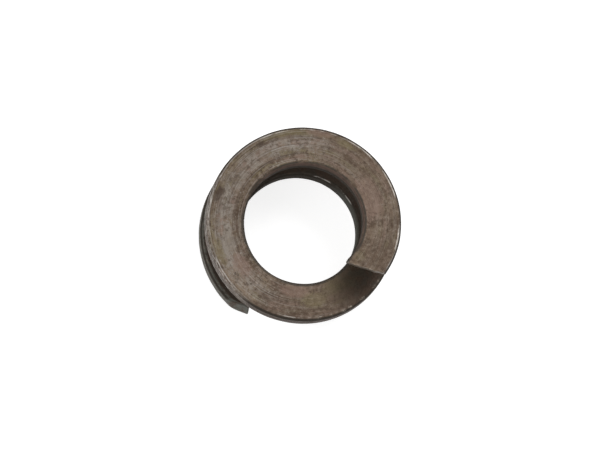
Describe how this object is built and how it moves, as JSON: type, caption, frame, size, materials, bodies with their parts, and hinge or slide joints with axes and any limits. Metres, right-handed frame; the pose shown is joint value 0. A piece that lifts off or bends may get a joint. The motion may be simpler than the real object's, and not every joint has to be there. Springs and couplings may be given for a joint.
{
  "type": "thackeray washer",
  "caption": "Left-hand coil of flat spring steel that keeps a nut tight on its stud or lets a clamped joint follow movement.",
  "frame": {"origin": "on the axis of the bore, in the plane that the lower end of the coil stands on", "axes": "+Z along the axis of the bore, from the foot to the crown of the coil; +X and +Y have no feature of their own: the foot ends at 235 degrees and the crown at 320 degrees, counter-clockwise from +X seen from +Z"},
  "size_m": [0.0138, 0.0138, 0.007],
  "materials": {
    "spring_steel": "oil-darkened brown spring steel, drawn and rolled, worn bright along its edges"
  },
  "bodies": {
    "root": {"spring_coil": "spring_steel"}
  },
  "joints": []
}
